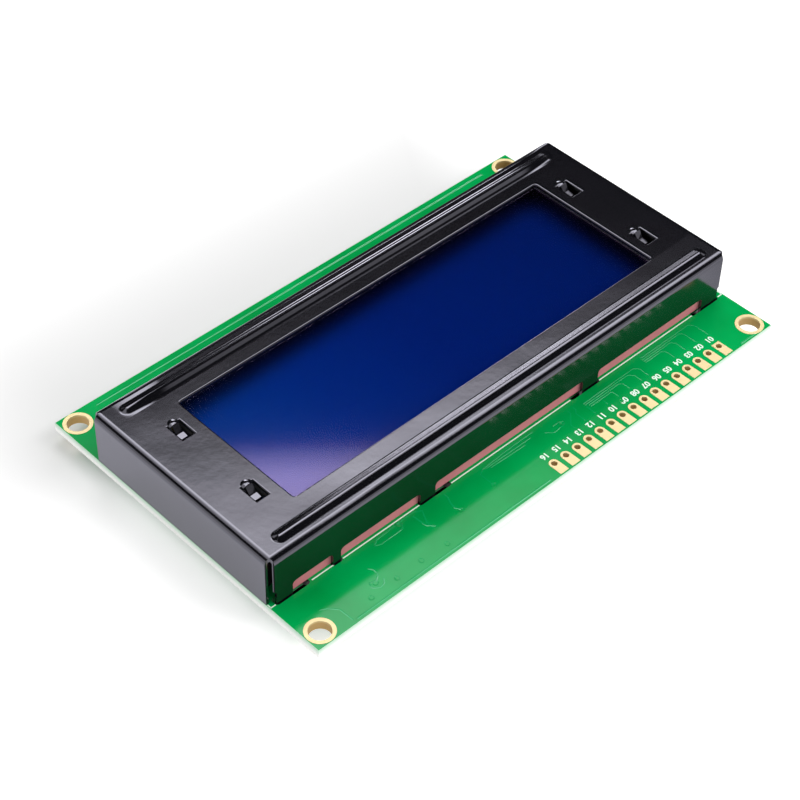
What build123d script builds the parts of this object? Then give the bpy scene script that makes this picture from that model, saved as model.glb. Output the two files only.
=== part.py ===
from build123d import *
import os

os.makedirs("parts", exist_ok=True)

# A 20 by 4 character display module, all dimensions in millimetres.
# The back face of the board is z = 0 and the display looks along +Z.
# X runs along the long side from header hole 1 to hole 16, and the header is on the +Y side.
# The origin is the middle of the four mounting holes.

# Board outline and the four mounting holes
BOARD_L = 98.0
BOARD_W = 60.0
BOARD_T = 1.6
MOUNT_SPAN_X = 93.0
MOUNT_SPAN_Y = 55.0
MOUNT_HOLE_D = 3.5
MOUNT_RING_D = 4.7
PLATING_T = 0.1
COPPER_T = 0.05

# Header: sixteen plated holes in line, each in a pad that runs out to the board's edge
HEADER_COUNT = 16
HEADER_PITCH = 2.54
HEADER_X = -38.9
HEADER_Y = 27.5
HEADER_HOLE_D = 1.0
HEADER_PAD_W = 1.7
HEADER_PAD_IN = 26.65
HEADER_PAD_OUT = 29.7

# The display sits a little off the board's middle line
DISPLAY_Y = -0.1

# Bezel: a stamped and folded steel sheet
SHEET_T = 0.5
BEZEL_MIN_X = -48.45
BEZEL_MAX_X = 48.95
BEZEL_W = 40.0
BEZEL_TOP = 11.05
FOLD_R = 1.2
WINDOW_L = 76.0
WINDOW_W = 25.7
WINDOW_R = 0.5
RIM_R = 0.25
CORNER_SLITS = [(-1, 2.1), (1, 1.5)]
CORNER_SLIT_START = 0.6
WALL_FOOT_Z = 4.1
OPENING_R = 0.7

# Feet of the long walls, as spans along X, and the board slots that they pass through
TWISTED_FEET = [(-47.1, -43.3), (-18.6, -15.1), (16.75, 19.8), (44.75, 47.7)]
PLAIN_FOOT = (35.6, 37.1)
SLOTS = [(-47.6, -41.2), (-19.2, -12.6), (13.4, 20.0), (35.2, 37.3), (41.5, 47.9)]
SLOT_Y = 19.45
SLOT_W = 1.5
SLOT_R = 0.5
TAB_L = 1.9
TAB_TWIST = 36.0
PLAIN_TAB_L = 0.6

# Stiffening beads beside the window and the four locating tongues at its ends
BEAD_YS = (-16.8, 17.1)
BEAD_L = 91.5
BEAD_W = 2.6
BEAD_H = 0.45
BEAD_R = 0.87
BEAD_SLOPE = 27.0
TONGUE_X = 41.3
TONGUE_Y = 8.2
TONGUE_HOLE_L = 3.5
TONGUE_HOLE_W = 2.2
TONGUE_W = 1.2
TONGUE_DOME_D = 1.9
TONGUE_DOME_H = 0.25

# Liquid crystal cell, from the bezel's underside down
GLASS_L = 81.0
GLASS_T = 1.1
FRONT_GLASS_W = 37.8
REAR_GLASS_W = 33.0
POLARISER_T = 0.2
POLARISER_L = 79.8
FRONT_POLARISER_W = 31.8
REAR_POLARISER_W = 32.2
SEAL_T = 0.1
SEAL_W = 1.0
SEAL_INSET = 0.2
FILL_PORT_W = 3.0
PLUG_W = 4.0

UNDERSIDE_Z = BEZEL_TOP - SHEET_T
FRONT_GLASS_TOP = UNDERSIDE_Z - POLARISER_T
FRONT_GLASS_Z = FRONT_GLASS_TOP - GLASS_T
REAR_GLASS_TOP = FRONT_GLASS_Z - SEAL_T
REAR_GLASS_Z = REAR_GLASS_TOP - GLASS_T
REAR_POLARISER_Z = REAR_GLASS_Z - POLARISER_T

# Elastomeric connectors between the board and the front glass
CONNECTOR_L = 90.8
CONNECTOR_Y = 18.0
CONNECTOR_SIDE_T = 1.15
CONNECTOR_CORE_T = 0.5

# Backlight: frame, light guide with its two sheets, and the LED strip at the +X end
FRAME_L = 95.2
FRAME_W = 33.2
FRAME_WALL = 1.2
FRAME_FLOOR_Z = 2.25
FLOOR_TOP = 3.45
CAVITY_MIN_X = -42.2
CAVITY_MAX_X = 46.9
END_BLOCK_X = -43.2
END_TOP = 10.4
FILM_T = 0.2
GUIDE_MIN_X = -42.0
GUIDE_MAX_X = 43.4
GUIDE_W = 30.4
LED_COUNT = 5
LED_PITCH = 6.0
LED_X = 43.5
LED_DEPTH = 1.8
LED_W = 3.0
LED_Z = 4.35
LED_H = 2.6
LED_BOARD_T = 0.8
LED_BOARD_W = 29.0
LED_BOARD_H = 4.0
LEAD_D = 0.6
LEAD_HOLE_D = 0.8
LEAD_Y = 10.0
LEAD_TOP = 6.2
LEAD_TAIL = 0.9
SOLDER_D = 2.0
SOLDER_TIP_D = 0.9
SOLDER_H = 0.75

# Parts on the back of the board
BLOB_RIM = 0.15
BLOB_H = 1.4
CONTROLLER_BLOB_D = 18.0
DRIVER_BLOB_D = 15.0
DRIVER_X = 28.0
CONTROLLER_DIE = (5.0, 4.4, 0.4)
DRIVER_DIE = (5.6, 2.6, 0.4)
CHIP_L = 2.0
CHIP_W = 1.25
RESISTOR_H = 0.5
CAPACITOR_H = 0.9
CHIP_Y = 23.2
RESISTOR_X = [-36.0, -31.5, -27.0, -22.5, -9.0, -4.5, 0.0, 4.5]
CAPACITOR_X = [-13.5, 11.0, 30.0]


def block(x0, x1, y0, y1, z0, z1):
    return Pos((x0 + x1) / 2, (y0 + y1) / 2, (z0 + z1) / 2) * Box(x1 - x0, y1 - y0, z1 - z0)


def drill(x, y, d):
    return Pos(x, y, BOARD_T / 2) * Cylinder(d / 2, 3 * BOARD_T)


def save(name, solids):
    piece = solids[0] if len(solids) == 1 else Compound(children=solids)
    export_step(piece, f"parts/{name}.step")


def shifted(shape):
    return Pos(0, DISPLAY_Y, 0) * shape


mount_points = [
    (sx * MOUNT_SPAN_X / 2, sy * MOUNT_SPAN_Y / 2)
    for sx in (-1, 1)
    for sy in (-1, 1)
]
header_points = [(HEADER_X + i * HEADER_PITCH, HEADER_Y) for i in range(HEADER_COUNT)]
lead_x = LED_X + LED_DEPTH + LED_BOARD_T + LEAD_D / 2
lead_points = [(lead_x, DISPLAY_Y + sy * LEAD_Y) for sy in (-1, 1)]
wall_mid_y = BEZEL_W / 2 - SHEET_T / 2

# Board: glass-epoxy laminate with its drilled holes and the milled slots for the bezel's feet
board = Pos(0, 0, BOARD_T / 2) * Box(BOARD_L, BOARD_W, BOARD_T)
for x, y in mount_points:
    board -= drill(x, y, MOUNT_HOLE_D + 2 * PLATING_T)
for x, y in header_points:
    board -= drill(x, y, HEADER_HOLE_D + 2 * PLATING_T)
for x, y in lead_points:
    board -= drill(x, y, LEAD_HOLE_D)
for x0, x1 in SLOTS:
    for side in (-1, 1):
        outline = RectangleRounded(x1 - x0, SLOT_W, SLOT_R)
        slot = Pos((x0 + x1) / 2, DISPLAY_Y + side * SLOT_Y, -1) * extrude(outline, BOARD_T + 2)
        board -= slot
save("main_board", [board.solid()])

# Mounting hole plating: a barrel through the board with a flat ring on both faces
rings = []
for x, y in mount_points:
    ring = Pos(x, y, BOARD_T / 2) * Cylinder(MOUNT_HOLE_D / 2 + PLATING_T, BOARD_T)
    for z in (-COPPER_T / 2, BOARD_T + COPPER_T / 2):
        ring += Pos(x, y, z) * Cylinder(MOUNT_RING_D / 2, COPPER_T)
    ring -= drill(x, y, MOUNT_HOLE_D)
    rings.append(ring.solid())
save("mounting_rings", rings)

# Header plating: a barrel in every hole with a long pad on both faces
# The inner end of a pad is round, except at hole 1, where it is square
pads = []
pad_mid_y = (HEADER_PAD_IN + HEADER_PAD_OUT) / 2
pad_len = HEADER_PAD_OUT - HEADER_PAD_IN
for number, (x, y) in enumerate(header_points, start=1):
    outline = Pos(x, pad_mid_y) * Rectangle(HEADER_PAD_W, pad_len)
    if number > 1:
        inner = outline.vertices().group_by(Axis.Y)[0]
        outline = fillet(inner, HEADER_PAD_W / 2 - 0.01)
    pad = Pos(x, y, BOARD_T / 2) * Cylinder(HEADER_HOLE_D / 2 + PLATING_T, BOARD_T)
    pad += Pos(0, 0, BOARD_T) * extrude(outline, COPPER_T)
    pad += Pos(0, 0, -COPPER_T) * extrude(outline, COPPER_T)
    pad -= drill(x, y, HEADER_HOLE_D)
    pads.append(pad.solid())
save("header_pads", pads)

# Bezel: one sheet, drawn as a tray with round folds and cut back to its walls and feet
bezel_l = BEZEL_MAX_X - BEZEL_MIN_X
bezel_x = (BEZEL_MAX_X + BEZEL_MIN_X) / 2
fold_z = BEZEL_TOP - FOLD_R
tray = Pos(bezel_x, 0, BEZEL_TOP / 2) * Box(bezel_l, BEZEL_W, BEZEL_TOP)
tray = fillet(tray.faces().sort_by(Axis.Z)[-1].edges(), FOLD_R)
hollow = Box(bezel_l - 2 * SHEET_T, BEZEL_W - 2 * SHEET_T, UNDERSIDE_Z)
hollow = Pos(bezel_x, 0, UNDERSIDE_Z / 2) * hollow
hollow = fillet(hollow.faces().sort_by(Axis.Z)[-1].edges(), FOLD_R - SHEET_T)
bezel = tray - hollow

# Slits that free the walls at the four corners, each with a round inner end high in the fold
for toward_x, slit_w in CORNER_SLITS:
    corner_x = bezel_x + toward_x * (bezel_l / 2 - FOLD_R)
    round_x = CORNER_SLIT_START + slit_w / 2
    slit = block(round_x, 4, -slit_w / 2, slit_w / 2, -1, BEZEL_TOP + 1)
    slit += Pos(round_x, 0, BEZEL_TOP / 2) * Cylinder(slit_w / 2, BEZEL_TOP + 2)
    for toward_y in (-1, 1):
        turn = 90 - 45 * toward_x
        bezel -= Pos(corner_x, toward_y * (BEZEL_W / 2 - FOLD_R), 0) * Rot(0, 0, turn * toward_y) * slit

# Short walls stand on the board, so what reaches below its face goes
for x0, x1 in ((BEZEL_MIN_X - 1, BEZEL_MIN_X + SHEET_T), (BEZEL_MAX_X - SHEET_T, BEZEL_MAX_X + 1)):
    bezel -= block(x0, x1, -BEZEL_W / 2 - 1, BEZEL_W / 2 + 1, -1, BOARD_T)

# Long walls are cut away between their feet, with round upper corners
feet = sorted(TWISTED_FEET + [PLAIN_FOOT])
for (left, right) in zip(feet[:-1], feet[1:]):
    x0 = left[1]
    x1 = right[0]
    gap = Pos((x0 + x1) / 2, 0, (WALL_FOOT_Z - 1) / 2) * Box(x1 - x0, BEZEL_W + 2, WALL_FOOT_Z + 1)
    gap = fillet(gap.faces().sort_by(Axis.Z)[-1].edges().filter_by(Axis.Y), OPENING_R)
    bezel -= gap
for x0, x1 in ((BEZEL_MIN_X + SHEET_T, feet[0][0]), (feet[-1][1], BEZEL_MAX_X - SHEET_T)):
    for side in (-1, 1):
        ys = sorted((side * (BEZEL_W / 2 - FOLD_R), side * (BEZEL_W / 2 + 1)))
        bezel -= block(x0, x1, ys[0], ys[1], -1, WALL_FOOT_Z)

# Window in the top, and the holes that the tongues are lanced from, all with rounded upper rims
window = RectangleRounded(WINDOW_L, WINDOW_W, WINDOW_R)
bezel -= Pos(0, 0, UNDERSIDE_Z - 1) * extrude(window, SHEET_T + 2)
tongue_places = [(sx * TONGUE_X, sy * TONGUE_Y) for sx in (-1, 1) for sy in (-1, 1)]
for x, y in tongue_places:
    bezel -= Pos(x, y, BEZEL_TOP) * Box(TONGUE_HOLE_W, TONGUE_HOLE_L, 4)
rims = bezel.edges().filter_by_position(Axis.Z, BEZEL_TOP - 0.01, BEZEL_TOP + 0.01)
rims = rims.filter_by_position(Axis.X, -TONGUE_X - TONGUE_HOLE_W, TONGUE_X + TONGUE_HOLE_W)
rims = rims.filter_by_position(Axis.Y, -WINDOW_W / 2 - 0.1, WINDOW_W / 2 + 0.1)
bezel = fillet(rims, RIM_R)

# Beads pressed up along both long sides: a round crest that runs out into the sheet on both sides
crest_z = BEAD_H - BEAD_R
half_w = BEAD_W / 2
low_angle = 270 - BEAD_SLOPE
outer_crest = CenterArc((0, crest_z), BEAD_R, 90, -BEAD_SLOPE)
outer_foot = CenterArc((half_w, BEAD_R), BEAD_R, low_angle, BEAD_SLOPE)
inner_crest = CenterArc((0, crest_z), BEAD_R - SHEET_T, 90, -BEAD_SLOPE)
inner_foot = CenterArc((half_w, BEAD_R), BEAD_R + SHEET_T, low_angle, BEAD_SLOPE)
half_bead = make_face([
    outer_crest,
    Line(outer_crest @ 1, outer_foot @ 0),
    outer_foot,
    Line(outer_foot @ 1, inner_foot @ 1),
    inner_foot,
    Line(inner_foot @ 0, inner_crest @ 1),
    inner_crest,
    Line(inner_crest @ 0, outer_crest @ 0),
])
straight = BEAD_L - BEAD_W
bead_section = Plane.YZ * (half_bead + mirror(half_bead, Plane.YZ))
bead = Pos(-straight / 2, 0, 0) * extrude(bead_section, straight, dir=(1, 0, 0))
round_end = revolve(Plane.YZ * half_bead, Axis.Z, -180)
bead += Pos(straight / 2, 0, 0) * round_end
bead += Pos(-straight / 2, 0, 0) * Rot(0, 0, 180) * round_end
for y in BEAD_YS:
    bezel -= Pos(0, y, UNDERSIDE_Z - 1) * extrude(SlotOverall(BEAD_L, BEAD_W), SHEET_T + 2)
    bezel += Pos(0, y, BEZEL_TOP) * bead

# Tongues bent down past the ends of the glass, from a low dome at the root to a flat end
tongue_profile = [
    (-0.3, BEZEL_TOP),
    (0.1, BEZEL_TOP + 0.2),
    (0.4, BEZEL_TOP + 0.05),
    (1.2, BEZEL_TOP - 0.95),
    (1.4, BEZEL_TOP - 1.05),
    (2.4, BEZEL_TOP - 1.17),
    (2.4, BEZEL_TOP - 1.67),
    (1.2, BEZEL_TOP - 1.55),
    (0.9, BEZEL_TOP - 1.4),
    (0.05, BEZEL_TOP - SHEET_T),
    (-0.3, BEZEL_TOP - SHEET_T),
]
dome_r = TONGUE_DOME_D / 2
dome_ball = (dome_r * dome_r + TONGUE_DOME_H * TONGUE_DOME_H) / (2 * TONGUE_DOME_H)
dome = Pos(0, 0, TONGUE_DOME_H - dome_ball) * Sphere(dome_ball)
dome &= block(-dome_r, dome_r, -2, 0.35, -0.2, 1)
for x, y in tongue_places:
    root_y = y - TONGUE_HOLE_L / 2
    side_face = Plane.YZ * Polygon(*[(root_y + dy, z) for dy, z in tongue_profile], align=None)
    bezel += Pos(x - TONGUE_W / 2, 0, 0) * extrude(side_face, TONGUE_W, dir=(1, 0, 0))
    bezel += Pos(x, root_y, BEZEL_TOP) * dome

# Tabs under the board: the feet are twisted to lock the bezel, one short tab only locates it
for side in (-1, 1):
    for x0, x1 in TWISTED_FEET:
        turn = TAB_TWIST if x0 * side > 0 else -TAB_TWIST
        middle = (x0 + x1) / 2
        sections = []
        for step in range(5):
            share = step / 4
            section = Pos(middle, side * wall_mid_y, -TAB_L * share)
            section = section * Rot(0, 0, turn * share) * Rectangle(x1 - x0, SHEET_T)
            sections.append(section)
        bezel += loft(sections, ruled=True)
    bezel += block(
        PLAIN_FOOT[0], PLAIN_FOOT[1],
        side * wall_mid_y - SHEET_T / 2, side * wall_mid_y + SHEET_T / 2,
        -PLAIN_TAB_L, 0,
    )
save("bezel", [shifted(bezel).solid()])


def sheet(length, width, z0, z1):
    return shifted(block(-length / 2, length / 2, -width / 2, width / 2, z0, z1))


# Cell: polariser film, front glass, seal with its fill port, rear glass, polariser film
front_polariser = sheet(POLARISER_L, FRONT_POLARISER_W, FRONT_GLASS_TOP, UNDERSIDE_Z)
front_glass = sheet(GLASS_L, FRONT_GLASS_W, FRONT_GLASS_Z, FRONT_GLASS_TOP)
rear_glass = sheet(GLASS_L, REAR_GLASS_W, REAR_GLASS_Z, REAR_GLASS_TOP)
rear_polariser = sheet(POLARISER_L, REAR_POLARISER_W, REAR_POLARISER_Z, REAR_GLASS_Z)
save("front_polariser", [front_polariser])
save("front_glass", [front_glass])
save("rear_glass", [rear_glass])
save("rear_polariser", [rear_polariser])

seal_l = GLASS_L - 2 * SEAL_INSET
seal_w = REAR_GLASS_W - 2 * SEAL_INSET
seal = sheet(seal_l, seal_w, REAR_GLASS_TOP, FRONT_GLASS_Z)
seal -= sheet(seal_l - 2 * SEAL_W, seal_w - 2 * SEAL_W, REAR_GLASS_TOP - 1, FRONT_GLASS_Z + 1)
port = block(-seal_l / 2 - 1, -seal_l / 2 + SEAL_W + 1, -FILL_PORT_W / 2, FILL_PORT_W / 2, 0, BEZEL_TOP)
seal -= shifted(port)
save("cell_seal", [seal.solid()])

# Drop of cured resin that closes the fill port from outside
neck = block(-GLASS_L / 2, -seal_l / 2 + SEAL_W, -FILL_PORT_W / 2, FILL_PORT_W / 2, REAR_GLASS_TOP, FRONT_GLASS_Z)
drop = block(-GLASS_L / 2 - 0.6, -GLASS_L / 2, -PLUG_W / 2, PLUG_W / 2, REAR_GLASS_Z + 0.2, FRONT_GLASS_TOP - 0.2)
drop = fillet(drop.faces().sort_by(Axis.X)[0].edges(), 0.35)
save("fill_port_plug", [shifted(drop + neck).solid()])

# Connectors: a conductive layered core between two insulating silicone sides
cores = []
sides = []
for side in (-1, 1):
    mid = side * CONNECTOR_Y
    half_core = CONNECTOR_CORE_T / 2
    half = half_core + CONNECTOR_SIDE_T
    half_l = CONNECTOR_L / 2
    cores.append(shifted(block(-half_l, half_l, mid - half_core, mid + half_core, BOARD_T, FRONT_GLASS_Z)))
    sides.append(shifted(block(-half_l, half_l, mid - half, mid - half_core, BOARD_T, FRONT_GLASS_Z)))
    sides.append(shifted(block(-half_l, half_l, mid + half_core, mid + half, BOARD_T, FRONT_GLASS_Z)))
save("connector_cores", cores)
save("connector_sides", sides)

# Backlight frame: a tray for the light guide, with end walls and posts up to the bezel
half_l = FRAME_L / 2
half_w = FRAME_W / 2
cavity_half_w = half_w - FRAME_WALL
frame = block(-half_l, half_l, -half_w, half_w, BOARD_T, REAR_POLARISER_Z)
frame += block(-half_l, END_BLOCK_X, -half_w, half_w, REAR_POLARISER_Z, END_TOP)
frame += block(CAVITY_MAX_X, half_l, -half_w, half_w, REAR_POLARISER_Z, END_TOP)
frame -= block(CAVITY_MIN_X, CAVITY_MAX_X, -cavity_half_w, cavity_half_w, FLOOR_TOP, BEZEL_TOP)
under_x = half_l - FRAME_WALL
frame -= block(-under_x, under_x, -cavity_half_w, cavity_half_w, 0, FRAME_FLOOR_Z)
frame -= block(-under_x, END_BLOCK_X, -cavity_half_w, cavity_half_w, 0, END_TOP - FRAME_WALL)
for sy in (-1, 1):
    frame -= Pos(lead_x, sy * LEAD_Y, FLOOR_TOP) * Cylinder(LEAD_HOLE_D / 2, 4)
save("backlight_frame", [shifted(frame).solid()])

guide_z = FLOOR_TOP + FILM_T
guide_top = REAR_POLARISER_Z - FILM_T
reflector = block(GUIDE_MIN_X, GUIDE_MAX_X, -GUIDE_W / 2, GUIDE_W / 2, FLOOR_TOP, guide_z)
guide = block(GUIDE_MIN_X, GUIDE_MAX_X, -GUIDE_W / 2, GUIDE_W / 2, guide_z, guide_top)
diffuser = block(GUIDE_MIN_X, GUIDE_MAX_X, -GUIDE_W / 2, GUIDE_W / 2, guide_top, REAR_POLARISER_Z)
save("reflector_sheet", [shifted(reflector)])
save("light_guide", [shifted(guide)])
save("diffuser_sheet", [shifted(diffuser)])

# LED strip: a small upright board with the LEDs facing the guide's end
strip_x = LED_X + LED_DEPTH
strip = block(strip_x, strip_x + LED_BOARD_T, -LED_BOARD_W / 2, LED_BOARD_W / 2, guide_z, guide_z + LED_BOARD_H)
save("led_board", [shifted(strip)])
leds = []
for i in range(LED_COUNT):
    y = (i - (LED_COUNT - 1) / 2) * LED_PITCH
    leds.append(shifted(block(LED_X, strip_x, y - LED_W / 2, y + LED_W / 2, LED_Z, LED_Z + LED_H)))
save("leds", leds)

# Two straight leads from the strip through frame and board, soldered on the back
leads = []
joints = []
for x, y in lead_points:
    lead_len = LEAD_TOP + LEAD_TAIL
    leads.append(Pos(x, y, (LEAD_TOP - LEAD_TAIL) / 2) * Cylinder(LEAD_D / 2, lead_len))
    joint = Pos(x, y, -SOLDER_H / 2) * Cone(SOLDER_TIP_D / 2, SOLDER_D / 2, SOLDER_H)
    joint -= Pos(x, y, 0) * Cylinder(LEAD_D / 2, 4)
    joints.append(joint.solid())
save("backlight_leads", leads)
save("lead_solder", joints)


def blob(x, diameter, die):
    r = diameter / 2
    rise = BLOB_H - BLOB_RIM
    ball_r = (r * r + rise * rise) / (2 * rise)
    ball = Pos(0, 0, ball_r - BLOB_H) * Sphere(ball_r)
    body = Pos(0, 0, -BLOB_H / 2) * Cylinder(r, BLOB_H)
    return (Pos(x, 0, 0) * (body & ball) - silicon(x, die)).solid()


def silicon(x, die):
    return Pos(x, 0, -die[2] / 2) * Box(*die)


# Bare dies bonded to the back of the board, each under its own drop of black epoxy
save("controller_die", [silicon(0, CONTROLLER_DIE)])
save("controller_blob", [blob(0, CONTROLLER_BLOB_D, CONTROLLER_DIE)])
save("driver_dies", [silicon(x, DRIVER_DIE) for x in (-DRIVER_X, DRIVER_X)])
save("driver_blobs", [blob(x, DRIVER_BLOB_D, DRIVER_DIE) for x in (-DRIVER_X, DRIVER_X)])


def chip(x, height):
    return Pos(x, CHIP_Y, -height / 2) * Box(CHIP_L, CHIP_W, height)


# Chip resistors and capacitors in a row behind the header
save("chip_resistors", [chip(x, RESISTOR_H) for x in RESISTOR_X])
save("chip_capacitors", [chip(x, CAPACITOR_H) for x in CAPACITOR_X])
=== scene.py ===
import math

import bmesh
import bpy
from mathutils import Matrix, Vector


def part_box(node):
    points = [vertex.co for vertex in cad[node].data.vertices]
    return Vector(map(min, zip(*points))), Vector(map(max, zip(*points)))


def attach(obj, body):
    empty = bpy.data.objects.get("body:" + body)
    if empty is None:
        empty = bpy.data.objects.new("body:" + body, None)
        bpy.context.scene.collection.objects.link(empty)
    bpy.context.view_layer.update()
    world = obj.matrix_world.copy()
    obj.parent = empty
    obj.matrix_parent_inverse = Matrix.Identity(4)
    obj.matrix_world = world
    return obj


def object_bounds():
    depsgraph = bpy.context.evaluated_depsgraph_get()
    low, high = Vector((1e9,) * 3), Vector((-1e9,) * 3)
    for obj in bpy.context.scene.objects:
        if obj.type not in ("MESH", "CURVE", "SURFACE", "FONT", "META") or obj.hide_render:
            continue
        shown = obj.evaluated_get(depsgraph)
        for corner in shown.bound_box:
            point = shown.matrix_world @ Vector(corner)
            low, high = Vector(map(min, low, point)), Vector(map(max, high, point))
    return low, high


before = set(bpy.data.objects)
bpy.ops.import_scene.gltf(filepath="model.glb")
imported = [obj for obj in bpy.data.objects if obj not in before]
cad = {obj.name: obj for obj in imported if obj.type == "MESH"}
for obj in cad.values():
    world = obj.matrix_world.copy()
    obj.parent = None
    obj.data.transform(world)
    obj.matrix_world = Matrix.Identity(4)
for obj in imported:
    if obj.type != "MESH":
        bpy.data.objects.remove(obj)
cad_low, cad_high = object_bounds()
bpy.ops.object.select_all(action="DESELECT")


# Circuit board: glass-epoxy laminate, drilled and milled to its outline, with green solder mask
# printed and cured on both faces. The milled edges are left bare and show the pale laminate.
MM = 0.001
BOARD_HALF_L, BOARD_HALF_W, BOARD_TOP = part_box("main_board")[1]
SLOT_Y, SLOT_HALF_W = 19.4 * MM, 0.78 * MM
EDGE_NEAR, FACE_NEAR = 0.06 * MM, 0.02 * MM


def linear(colour):
    parts = [int(colour[i:i + 2], 16) / 255 for i in (1, 3, 5)]
    return [*(p / 12.92 if p <= 0.04045 else ((p + 0.055) / 1.055) ** 2.4 for p in parts), 1]


def add(material, kind, settings=None, links=None):
    node = material.node_tree.nodes.new(kind)
    for name, value in (settings or {}).items():
        if isinstance(name, int) or name in node.inputs:
            node.inputs[name].default_value = value
        else:
            setattr(node, name, value)
    for name, socket in (links or {}).items():
        material.node_tree.links.new(socket, node.inputs[name])
    return node


def blank(name):
    material = bpy.data.materials.new(name)
    material.use_nodes = True
    material.node_tree.nodes.clear()
    return material


def dress(node, material):
    cad[node].data.materials.clear()
    cad[node].data.materials.append(material)


# Glossy green solder mask: screen-printed and cured, so it is smooth to the touch, with faint
# clouds of lighter and darker green where its thickness varies over some 15 mm. The mask ends at
# the milled edge, where the matt laminate is painted green near the mask and near white below,
# a painted glow of the white table. In the slots the laminate is painted almost black, a painted
# shade where little light gets in.
solder_mask = blank("glossy green solder mask over laminate")
place = add(solder_mask, "ShaderNodeTexCoord")
axes = add(solder_mask, "ShaderNodeSeparateXYZ", links={0: place.outputs["Object"]})
clouds = add(
    solder_mask, "ShaderNodeTexNoise",
    {"Scale": 1 / (15.4 * MM), "Detail": 3.0, "Roughness": 0.6},
    {"Vector": place.outputs["Object"]},
)
green = add(solder_mask, "ShaderNodeValToRGB", links={"Fac": clouds.outputs["Fac"]})
green.color_ramp.elements[0].position = 0.35
green.color_ramp.elements[0].color = linear("#009444")
green.color_ramp.elements[1].position = 0.68
green.color_ramp.elements[1].color = linear("#00A552")
half_x = add(solder_mask, "ShaderNodeMath", {"operation": "ABSOLUTE"}, {0: axes.outputs["X"]})
half_y = add(solder_mask, "ShaderNodeMath", {"operation": "ABSOLUTE"}, {0: axes.outputs["Y"]})
past_x = add(
    solder_mask, "ShaderNodeMath", {"operation": "GREATER_THAN", 1: BOARD_HALF_L - EDGE_NEAR},
    {0: half_x.outputs[0]},
)
past_y = add(
    solder_mask, "ShaderNodeMath", {"operation": "GREATER_THAN", 1: BOARD_HALF_W - EDGE_NEAR},
    {0: half_y.outputs[0]},
)
bare_edge = add(
    solder_mask, "ShaderNodeMath", {"operation": "MAXIMUM"},
    {0: past_x.outputs[0], 1: past_y.outputs[0]},
)
# Painted light: the milled edge is painted from green at the mask to near white at the bottom, a
# painted glow of the white table.
height = add(
    solder_mask, "ShaderNodeMapRange", {"From Min": 0.5 * MM, "From Max": BOARD_TOP},
    {"Value": axes.outputs["Z"]},
)
laminate = add(
    solder_mask, "ShaderNodeMix",
    {"data_type": "RGBA", 6: linear("#FFFFFC"), 7: linear("#BBDDC4")},
    {0: height.outputs["Result"]},
)
outside = add(
    solder_mask, "ShaderNodeMix", {"data_type": "RGBA"},
    {0: bare_edge.outputs[0], 6: green.outputs["Color"], 7: laminate.outputs[2]},
)
near_slots = add(
    solder_mask, "ShaderNodeMath", {"operation": "COMPARE", 1: SLOT_Y, 2: SLOT_HALF_W},
    {0: half_y.outputs[0]},
)
below_face = add(
    solder_mask, "ShaderNodeMath", {"operation": "LESS_THAN", 1: BOARD_TOP - FACE_NEAR},
    {0: axes.outputs["Z"]},
)
above_back = add(
    solder_mask, "ShaderNodeMath", {"operation": "GREATER_THAN", 1: FACE_NEAR},
    {0: axes.outputs["Z"]},
)
in_board = add(
    solder_mask, "ShaderNodeMath", {"operation": "MULTIPLY"},
    {0: below_face.outputs[0], 1: above_back.outputs[0]},
)
in_strip = add(
    solder_mask, "ShaderNodeMath", {"operation": "MULTIPLY"},
    {0: near_slots.outputs[0], 1: in_board.outputs[0]},
)
# Painted shade: inside the slots the laminate is painted near black, since little light gets in
# there.
slot_painted_shade = add(
    solder_mask, "ShaderNodeMath", {"operation": "SUBTRACT", "use_clamp": True},
    {0: in_strip.outputs[0], 1: past_x.outputs[0]},
)
board_colour = add(
    solder_mask, "ShaderNodeMix", {"data_type": "RGBA", 7: linear("#1A1E14")},
    {0: slot_painted_shade.outputs[0], 6: outside.outputs[2]},
)
sheen = add(
    solder_mask, "ShaderNodeMapRange", {"To Min": 0.12, "To Max": 0.7},
    {"Value": bare_edge.outputs[0]},
)
ripple = add(
    solder_mask, "ShaderNodeTexNoise", {"Scale": 1 / (2.38 * MM), "Detail": 2.0},
    {"Vector": place.outputs["Object"]},
)
flow = add(
    solder_mask, "ShaderNodeBump", {"Strength": 0.08, "Distance": 0.05 * MM},
    {"Height": ripple.outputs["Fac"]},
)
shader = add(
    solder_mask, "ShaderNodeBsdfPrincipled", {"IOR": 1.5, "Specular IOR Level": 0.22},
    {
        "Base Color": board_colour.outputs[2],
        "Roughness": sheen.outputs["Result"],
        "Normal": flow.outputs["Normal"],
    },
)
add(solder_mask, "ShaderNodeOutputMaterial", links={"Surface": shader.outputs[0]})
dress("main_board", solder_mask)

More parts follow.
